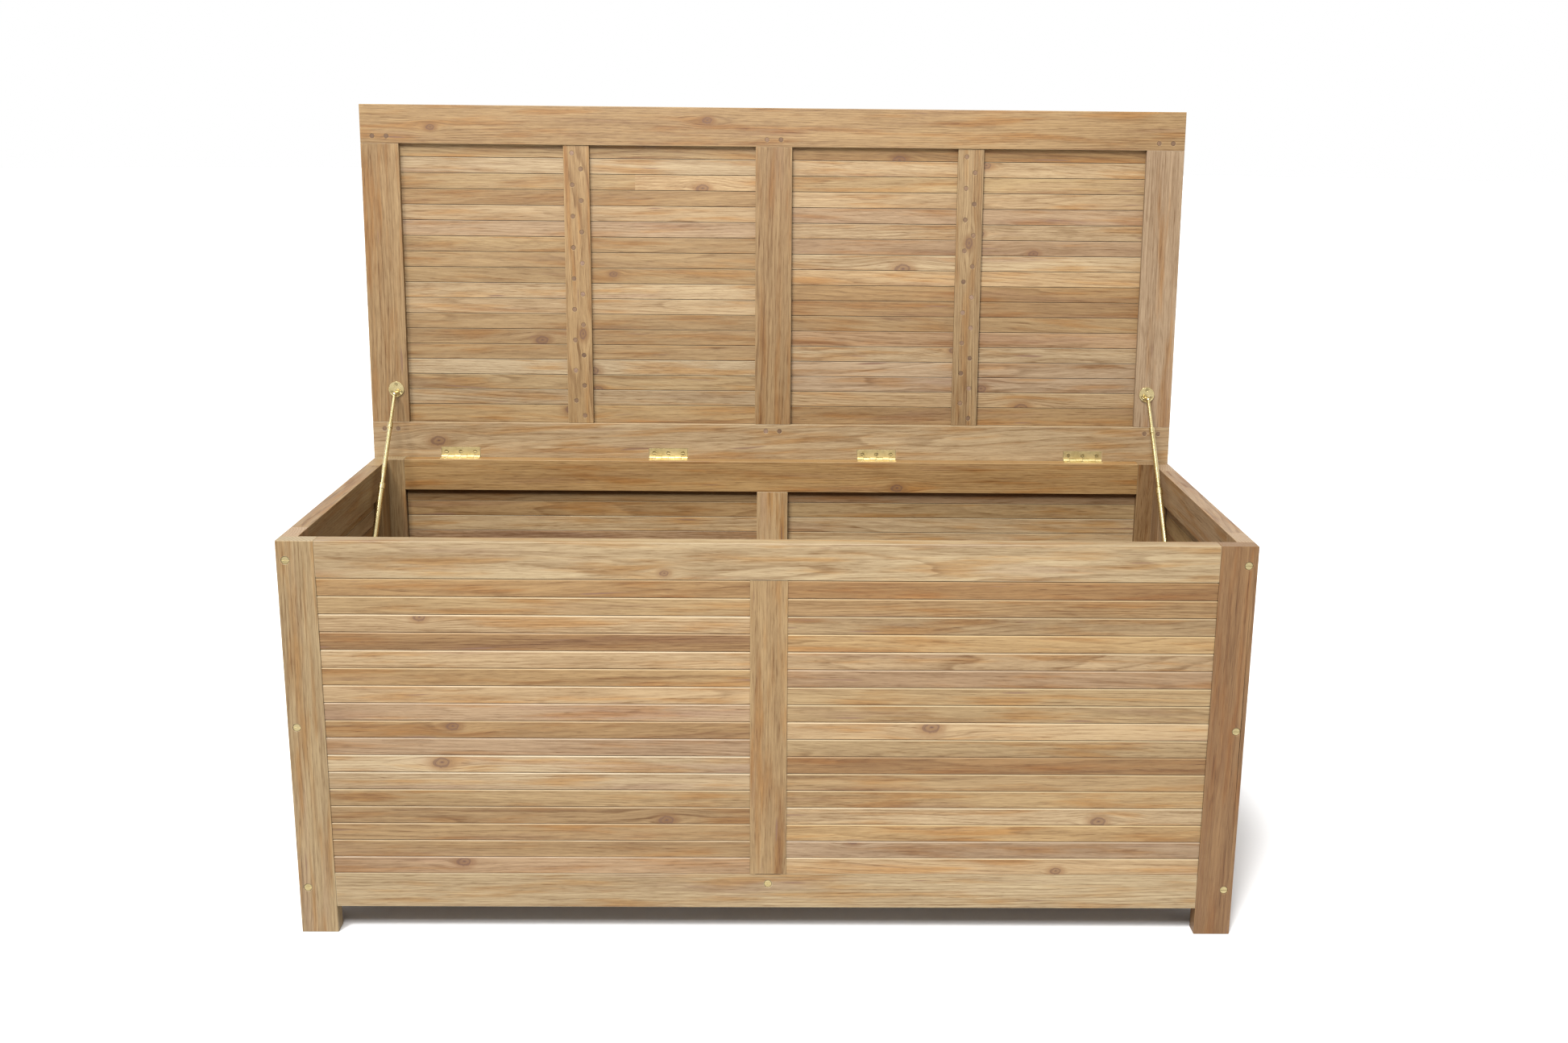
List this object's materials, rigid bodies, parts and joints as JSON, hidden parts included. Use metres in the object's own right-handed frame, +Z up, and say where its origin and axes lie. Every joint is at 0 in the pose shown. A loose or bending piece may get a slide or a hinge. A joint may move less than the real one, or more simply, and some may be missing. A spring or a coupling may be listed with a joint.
{
  "type": "deck storage box",
  "caption": "Slatted teak deck box on stile feet with a hinged slatted lid held open by telescopic brass stays.",
  "frame": {"origin": "on the ground under the middle of the box and its open lid", "axes": "+X along the box to its right seen from the front, front faces -Y, +Z up"},
  "size_m": [1.528, 0.7046, 1.3139],
  "materials": {
    "teak_frame": "planed teak, light oil, open grain",
    "teak_slats": "planed teak, mixed honey and pink boards",
    "teak_plugs": "dark end-grain teak, sanded flush",
    "brass": "polished, lightly brushed"
  },
  "bodies": {
    "case": {"front_left_stile": "teak_frame", "front_right_stile": "teak_frame", "front_top_rail": "teak_frame", "front_bottom_rail": "teak_frame", "front_mullion": "teak_frame", "front_slats_left": "teak_slats", "front_slats_right": "teak_slats", "back_left_stile": "teak_frame", "back_right_stile": "teak_frame", "back_top_rail": "teak_frame", "back_bottom_rail": "teak_frame", "back_mullion": "teak_frame", "back_slats_left": "teak_slats", "back_slats_right": "teak_slats", "left_front_stile": "teak_frame", "left_back_stile": "teak_frame", "left_top_rail": "teak_frame", "left_bottom_rail": "teak_frame", "left_slats": "teak_slats", "right_front_stile": "teak_frame", "right_back_stile": "teak_frame", "right_top_rail": "teak_frame", "right_bottom_rail": "teak_frame", "right_slats": "teak_slats", "floor_bearer": "teak_frame", "floor_ledger_left": "teak_frame", "floor_ledger_right": "teak_frame", "floor_slats": "teak_slats", "case_screws": "brass", "case_hardware_screws": "brass", "hinge_1_case_leaf": "brass", "hinge_2_case_leaf": "brass", "hinge_3_case_leaf": "brass", "hinge_4_case_leaf": "brass", "hinge_pins": "brass", "stay_left_bracket": "brass", "stay_right_bracket": "brass"},
    "lid": {"lid_hinge_rail": "teak_frame", "lid_front_rail": "teak_frame", "lid_left_stile": "teak_frame", "lid_right_stile": "teak_frame", "lid_muntin": "teak_frame", "lid_batten_left": "teak_frame", "lid_batten_right": "teak_frame", "lid_slats_left": "teak_slats", "lid_slats_right": "teak_slats", "lid_plugs": "teak_plugs", "lid_hardware_screws": "brass", "hinge_1_lid_leaf": "brass", "hinge_2_lid_leaf": "brass", "hinge_3_lid_leaf": "brass", "hinge_4_lid_leaf": "brass", "stay_left_lid_plate": "brass", "stay_right_lid_plate": "brass"},
    "stay_left_lower": {"stay_left_lower_tube": "brass"},
    "stay_left_middle": {"stay_left_middle_tube": "brass"},
    "stay_left_upper": {"stay_left_rod": "brass"},
    "stay_right_lower": {"stay_right_lower_tube": "brass"},
    "stay_right_middle": {"stay_right_middle_tube": "brass"},
    "stay_right_upper": {"stay_right_rod": "brass"}
  },
  "joints": [
    {"name": "lid_hinge", "type": "hinge", "parent": "case", "child": "lid", "pos_m": [0, 0.29825, 0.6605], "axis": [1, 0, 0], "range_deg": [0, 92.5]},
    {"name": "stay_left_pivot", "type": "hinge", "parent": "case", "child": "stay_left_lower", "pos_m": [-0.716, 0.05208, 0.5286], "axis": [1, 0, 0], "range_deg": [-4.88, 0]},
    {"name": "stay_left_middle_slide", "type": "slide", "parent": "stay_left_lower", "child": "stay_left_middle", "axis": [0, 0.6782, 0.7349], "range_m": [-0.11948, 0]},
    {"name": "stay_left_rod_slide", "type": "slide", "parent": "stay_left_middle", "child": "stay_left_upper", "axis": [0, 0.6782, 0.7349], "range_m": [-0.05605, 0]},
    {"name": "stay_right_pivot", "type": "hinge", "parent": "case", "child": "stay_right_lower", "pos_m": [0.716, 0.05208, 0.5286], "axis": [1, 0, 0], "range_deg": [-4.88, 0]},
    {"name": "stay_right_middle_slide", "type": "slide", "parent": "stay_right_lower", "child": "stay_right_middle", "axis": [0, 0.6782, 0.7349], "range_m": [-0.11948, 0]},
    {"name": "stay_right_rod_slide", "type": "slide", "parent": "stay_right_middle", "child": "stay_right_upper", "axis": [0, 0.6782, 0.7349], "range_m": [-0.05605, 0]}
  ],
  "couplings": [
    {"joint": "stay_left_pivot", "follows": "lid_hinge", "ratio": -0.052701},
    {"joint": "stay_left_middle_slide", "follows": "lid_hinge", "m_per_rad": -0.073976},
    {"joint": "stay_left_rod_slide", "follows": "lid_hinge", "m_per_rad": -0.034687},
    {"joint": "stay_right_pivot", "follows": "lid_hinge", "ratio": -0.052701},
    {"joint": "stay_right_middle_slide", "follows": "lid_hinge", "m_per_rad": -0.073976},
    {"joint": "stay_right_rod_slide", "follows": "lid_hinge", "m_per_rad": -0.034687}
  ]
}
